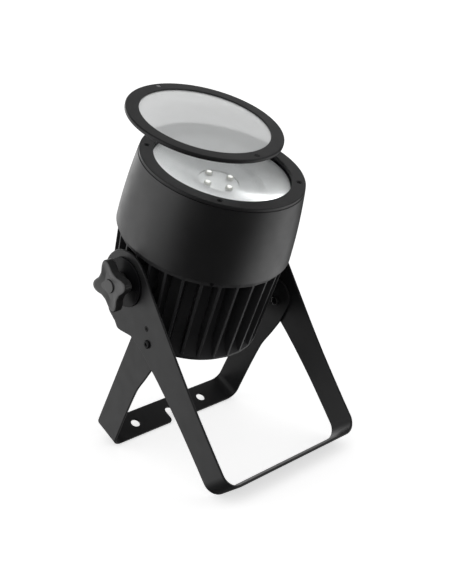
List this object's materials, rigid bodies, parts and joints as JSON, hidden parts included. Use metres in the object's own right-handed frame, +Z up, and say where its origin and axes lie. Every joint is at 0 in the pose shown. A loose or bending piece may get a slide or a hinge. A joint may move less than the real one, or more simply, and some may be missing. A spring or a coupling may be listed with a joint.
{
  "type": "par can light",
  "caption": "Stage par can with a finned round head, tilting in a folding double bracket with star knobs, and a round frost filter lifted off the front.",
  "frame": {"origin": "on the floor, under the middle of the object's box", "axes": "+Z up; X along the tilt axis; -Y towards the side the lamp faces"},
  "size_m": [0.2756, 0.2888, 0.4432],
  "materials": {
    "powder_coat": "satin black powder coat, very finely textured",
    "sink_coat": "black coated cast aluminium fins",
    "black_screw": "blackened steel",
    "bright_steel": "plain zinc-plated steel",
    "knob_plastic": "moulded black plastic, slight gloss on the edges",
    "seal_rubber": "matt black rubber",
    "lens_glass": "clear tempered glass",
    "frost_acrylic": "frosted white acrylic sheet",
    "reflector_metal": "fine-textured bright reflector",
    "engine_aluminium": "machined aluminium",
    "circuit_board": "green solder mask",
    "white_board": "white solder mask of the light engine's board",
    "led_phosphor": "pale phosphor under a silicone dome",
    "window_plastic": "smoked clear window"
  },
  "bodies": {
    "bracket": {"front_bracket": "powder_coat", "hinge_screw_left": "black_screw", "hinge_screw_right": "black_screw", "hinge_nut_left": "bright_steel", "hinge_nut_right": "bright_steel", "lock_screw_left": "black_screw", "lock_screw_right": "black_screw"},
    "rear_leg": {"rear_bracket": "powder_coat"},
    "lamp_head": {"front_shell": "powder_coat", "front_bezel": "powder_coat", "bezel_screw_1": "black_screw", "bezel_screw_2": "black_screw", "bezel_screw_3": "black_screw", "bezel_screw_4": "black_screw", "front_lens": "lens_glass", "lens_gasket": "seal_rubber", "reflector": "reflector_metal", "led_board": "white_board", "led_emitter_1": "led_phosphor", "led_emitter_2": "led_phosphor", "led_emitter_3": "led_phosphor", "led_emitter_4": "led_phosphor", "led_pedestal": "engine_aluminium", "heat_sink": "sink_coat", "power_supply": "bright_steel", "led_driver_board": "circuit_board", "control_board": "circuit_board", "rear_cover": "powder_coat", "cover_gasket": "seal_rubber", "cover_screw_1": "black_screw", "cover_screw_2": "black_screw", "cover_screw_3": "black_screw", "cover_screw_4": "black_screw", "display_window": "window_plastic", "power_inlet": "knob_plastic", "power_outlet": "knob_plastic", "data_input": "knob_plastic", "data_output": "knob_plastic", "vent_plug": "knob_plastic", "safety_eye": "bright_steel", "friction_disc_left": "seal_rubber", "friction_disc_right": "seal_rubber"},
    "frost_filter": {"filter_frame": "powder_coat", "filter_diffuser": "frost_acrylic", "filter_snap_ring": "bright_steel", "filter_magnet_front": "black_screw", "filter_magnet_rear": "bright_steel"},
    "clamp_left": {"clamp_washer_left": "black_screw", "lock_washer_left": "bright_steel"},
    "knob_left": {"tilt_knob_left": "knob_plastic", "knob_stud_left": "bright_steel"},
    "clamp_right": {"clamp_washer_right": "black_screw", "lock_washer_right": "bright_steel"},
    "knob_right": {"tilt_knob_right": "knob_plastic", "knob_stud_right": "bright_steel"},
    "button_1": {"menu_button_1": "seal_rubber"},
    "button_2": {"menu_button_2": "seal_rubber"},
    "button_3": {"menu_button_3": "seal_rubber"},
    "button_4": {"menu_button_4": "seal_rubber"}
  },
  "joints": [
    {"name": "head_tilt", "type": "hinge", "parent": "bracket", "child": "lamp_head", "pos_m": [0, 0.026, 0.2311], "axis": [1, 0, 0], "range_deg": [-110, 80]},
    {"name": "rear_leg_fold", "type": "hinge", "parent": "bracket", "child": "rear_leg", "pos_m": [0, -0.01052, 0.16308], "axis": [1, 0, 0], "range_deg": [-63.5, 1.5]},
    {"name": "filter_lift", "type": "slide", "parent": "lamp_head", "child": "frost_filter", "axis": [0, 0.5776, 0.8164], "range_m": [-0.0528, 0.06]},
    {"name": "clamp_slide_left", "type": "slide", "parent": "lamp_head", "child": "clamp_left", "axis": [-1, 0, 0], "range_m": [0, 0.00141]},
    {"name": "knob_turn_left", "type": "hinge", "parent": "clamp_left", "child": "knob_left", "pos_m": [-0.1384, 0.026, 0.2311], "axis": [-1, 0, 0], "range_deg": [0, 405]},
    {"name": "clamp_slide_right", "type": "slide", "parent": "lamp_head", "child": "clamp_right", "axis": [1, 0, 0], "range_m": [0, 0.00141]},
    {"name": "knob_turn_right", "type": "hinge", "parent": "clamp_right", "child": "knob_right", "pos_m": [0.1384, 0.026, 0.2311], "axis": [1, 0, 0], "range_deg": [0, 405]},
    {"name": "button_press_1", "type": "slide", "parent": "lamp_head", "child": "button_1", "axis": [0, -0.3633, 0.9317], "range_m": [0, 0.0008], "stiffness_N_per_m": 800},
    {"name": "button_press_2", "type": "slide", "parent": "lamp_head", "child": "button_2", "axis": [0, -0.3633, 0.9317], "range_m": [0, 0.0008], "stiffness_N_per_m": 800},
    {"name": "button_press_3", "type": "slide", "parent": "lamp_head", "child": "button_3", "axis": [0, -0.3633, 0.9317], "range_m": [0, 0.0008], "stiffness_N_per_m": 800},
    {"name": "button_press_4", "type": "slide", "parent": "lamp_head", "child": "button_4", "axis": [0, -0.3633, 0.9317], "range_m": [0, 0.0008], "stiffness_N_per_m": 800}
  ],
  "couplings": [
    {"joint": "knob_turn_left", "follows": "clamp_slide_left", "rad_per_m": 5026.5},
    {"joint": "knob_turn_right", "follows": "clamp_slide_right", "rad_per_m": 5026.5}
  ]
}
